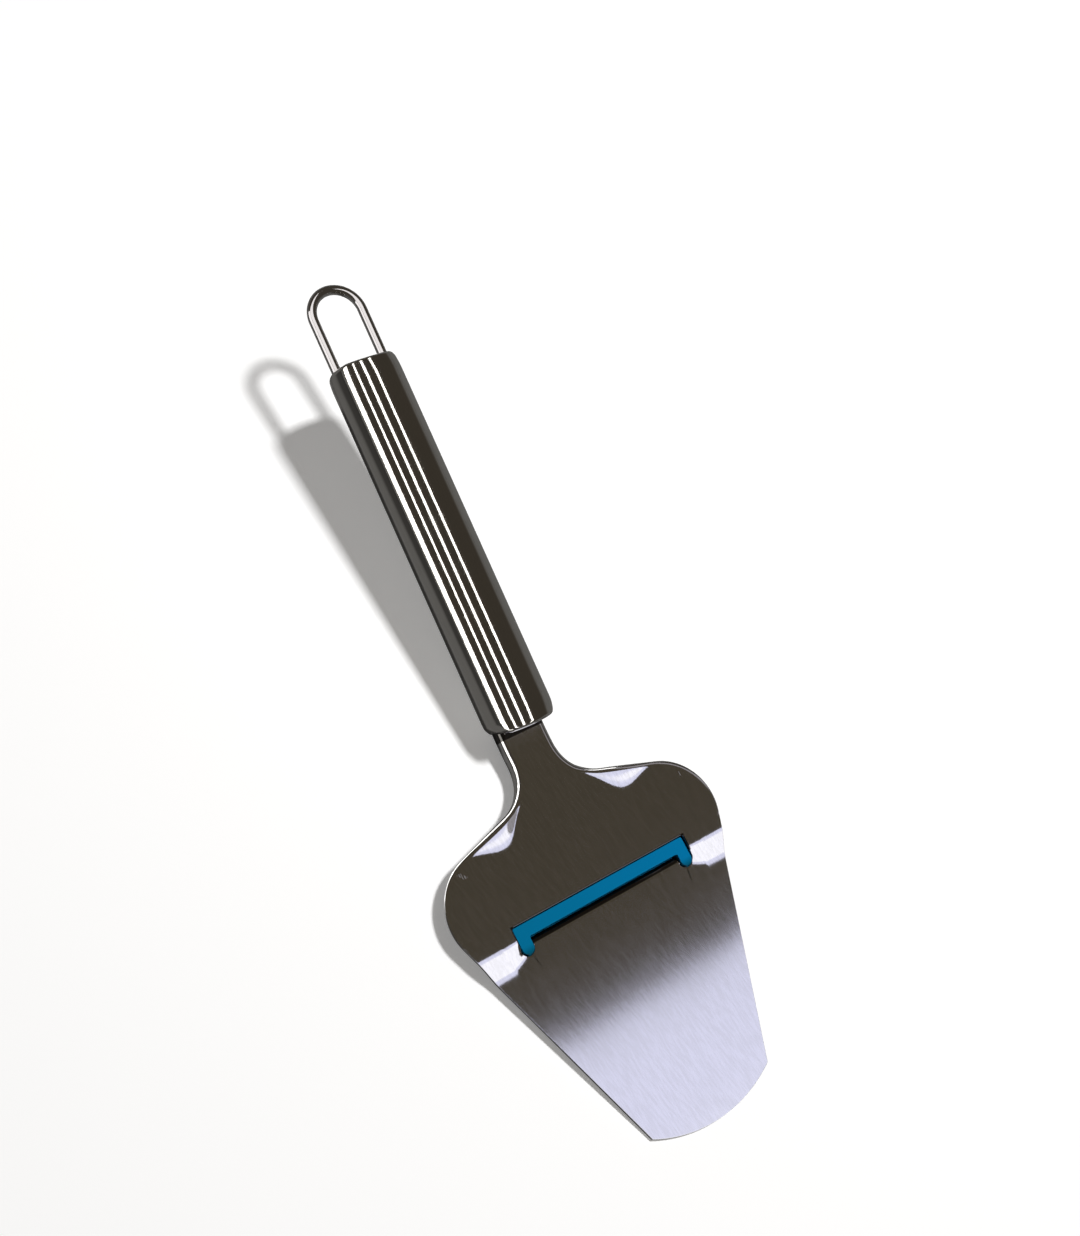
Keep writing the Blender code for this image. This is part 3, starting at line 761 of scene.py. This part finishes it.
# The blade's finish: satin, brushed lengthwise and rubbed aslant. Shade is painted dark into its colour on the
# ground lip, in a fine line round the slot, and where the neck meets the cap. Each scratch has a place in the slot's
# frame, a slant and half a size.
BRUSHED_DARK = (0.635, 0.625, 0.615, 1.0)
BRUSHED_LIGHT = (0.69, 0.68, 0.68, 1.0)
# Painted shade: the dark colour painted on the lip, round the slot and at the cap's mouth, where shade falls.
PAINTED_SHADE = (0.09, 0.085, 0.08, 1.0)
PAINTED_SHADE_LINE = (0.0002, 0.0004)
MOUTH_Y = 0.0466
MOUTH_REACH = 0.0020
SCRATCHES = [((-0.0325, 0.0187), (0.8, 0.2), (0.0005, 0.0009)),
             ((0.0354, 0.0171), (-0.25, 0.0), (0.0001, 0.0013))]
SCRATCH_FADE = 0.0002
blade_steel = bpy.data.materials.new("blade_steel")
nodes = Nodes(blade_steel)
where = nodes.node("ShaderNodeTexCoord", {}, {}, "Object")
along = nodes.node("ShaderNodeMapping", {}, {"Vector": where, "Scale": (1.0, 0.02, 0.02)})
turned = {"Vector": where, "Rotation": (0.0, 0.0, math.radians(12.0)), "Scale": (1.0, 7.0, 1.0)}
aslant = nodes.node("ShaderNodeMapping", {"vector_type": "TEXTURE"}, turned)
fine = nodes.noise(along, scale=2600.0, detail=2.0, roughness=0.6)
broad = nodes.noise(along, scale=700.0, detail=2.0)
cloud = nodes.noise(where, scale=45.0, detail=3.0)
rubbed = nodes.noise(aslant, scale=1500.0, detail=2.0, roughness=0.6)
strokes = (fine * 0.6 + broad * 0.4) * 0.4 + rubbed * 0.6
x, y = places(nodes, where, in_slot)
lip_half = LIP_BEVEL / 2
cut = outside(abs(x), y, (0.0, 0.0), (SLOT_HALF, (SLOT_END - SLOT_START) / 2))
lip = outside(abs(x), y, (0.0, middle - SLOT_END - lip_half), (SLOT_HALF - LEG_WIDTH, lip_half))
mouth = outside(abs(x), y, (0.0, MOUTH_Y), (NECK_HALF, MOUTH_REACH))
# Painted shade mask: the ground lip, a fine line round the slot and the neck at the cap's mouth.
edge = 1.0 - cut.least(lip).least(mouth).between(*PAINTED_SHADE_LINE)
left, right = [outside(x + y * slant_x, y - x * slant_y, (at_x + at_y * slant_x, at_y - at_x * slant_y), half)
               for (at_x, at_y), (slant_x, slant_y), half in SCRATCHES]
scratched = (1.0 - left.least(right).between(0.0, SCRATCH_FADE)) * fine.between(0.45, 0.55)
shader = nodes.tree.nodes["Principled BSDF"]
shader.inputs["Metallic"].default_value = 1.0
tone = nodes.mix(strokes.between(0.38, 0.62), BRUSHED_DARK, BRUSHED_LIGHT)
# The painted shade goes over the brushed tone.
nodes.feed(shader.inputs["Base Color"], nodes.mix(edge, tone, PAINTED_SHADE))
nodes.feed(shader.inputs["Roughness"], 0.11 + (strokes - 0.5) * 0.03 + (cloud - 0.5) * 0.03 + scratched * 0.3)
nodes.emboss(shader, rubbed, strength=0.2, distance=0.00002)
finished(blade, "blade_plate", blade_steel, "slicer", "blade")
under_panels.objects.link(blade)


# Edge guard: a strip of glossy blue plastic moulded with a rib in the shape of the slot. It clips into the slot from
# below and covers the ground lip while the slicer is sold and stored.
GUARD_WIDTH = 0.014
GUARD_MARGIN = 0.0045
GUARD_THICKNESS = 0.0012
GUARD_CORNER = 0.003
CLEARANCE = 0.0003
RIB_TOP = -0.0008
RIB_ROOT = 0.0004
strip_top = -PRESS_DEPTH - SHEET - CLEARANCE

guard = added(bpy.ops.mesh.primitive_cube_add,
              size=1.0, location=(0.0, 0.0, strip_top - GUARD_THICKNESS / 2),
              scale=(2 * (SLOT_HALF + GUARD_MARGIN), GUARD_WIDTH, GUARD_THICKNESS))
bpy.ops.object.transform_apply(location=True, rotation=True, scale=True)
bpy.ops.object.mode_set(mode="EDIT")
bpy.ops.mesh.select_all(action="DESELECT")
mesh = bmesh.from_edit_mesh(guard.data)
for edge in mesh.edges:
    edge.select_set(abs(edge.verts[0].co.z - edge.verts[1].co.z) > GUARD_THICKNESS / 2)
bmesh.update_edit_mesh(guard.data)
bpy.ops.mesh.bevel(offset=GUARD_CORNER, segments=10, affect="EDGES")
bpy.ops.object.mode_set(mode="OBJECT")

half_rib = slot_edge(CLEARANCE)
ring = half_rib + [Vector((-point.x, point.y)) for point in reversed(half_rib[1:-1])]
rib = prism("rib", [[(point.x, middle - point.y, z) for point in ring] for z in (strip_top - RIB_ROOT, RIB_TOP)])
combine(guard, rib, "UNION")
soften(guard, width=0.00018, segments=3, clamped=True)

# The guard's finish: blue and faintly swirled, with painted shade: lighter to the right, darker to the left, and
# darker at the lower ends of its two legs.
BLUE_SHADED = (0.0, 0.165, 0.32, 1.0)
BLUE_LIT = (0.0, 0.19, 0.43, 1.0)
BLUE_RISE = 14.0
BLUE_MIDDLE = 0.55
BLUE_SWIRL = 0.5
LEG_SHADE = (0.0, 0.05, 0.06, 1.0)
LEG_SHADE_DEPTH = 0.7
LEG_DARKENS = (0.0032, 0.0058)
guard_plastic = bpy.data.materials.new("guard_plastic")
nodes = Nodes(guard_plastic)
where = nodes.node("ShaderNodeTexCoord", {}, {}, "Object")
flow = nodes.node("ShaderNodeMapping", {}, {"Vector": where, "Scale": (0.25, 1.0, 1.0)})
swirl = nodes.noise(flow, scale=160.0, detail=3.0)
skin = nodes.noise(where, scale=900.0, detail=2.0)
# Painted shade: the blue is darker towards the left end, where shade falls, and lighter to the right.
rightwards = nodes.axis(where, "X") * BLUE_RISE + BLUE_MIDDLE + (swirl - 0.5) * BLUE_SWIRL
y = places(nodes, where, in_slot)[1]
# Painted shade: the lower ends of the legs are darkened, where they lie deeper in shade.
shade = (y * -1.0).between(*LEG_DARKENS) * LEG_SHADE_DEPTH
shader = nodes.tree.nodes["Principled BSDF"]
tone = nodes.mix(rightwards, BLUE_SHADED, BLUE_LIT)
nodes.feed(shader.inputs["Base Color"], nodes.mix(shade, tone, LEG_SHADE))
nodes.feed(shader.inputs["Roughness"], 0.16 + skin * 0.06)
shader.inputs["Specular IOR Level"].default_value = 0.35
nodes.emboss(shader, skin, strength=0.06, distance=0.00003)
finished(guard, "guard", guard_plastic, "guard", "edge_guard", in_slot)
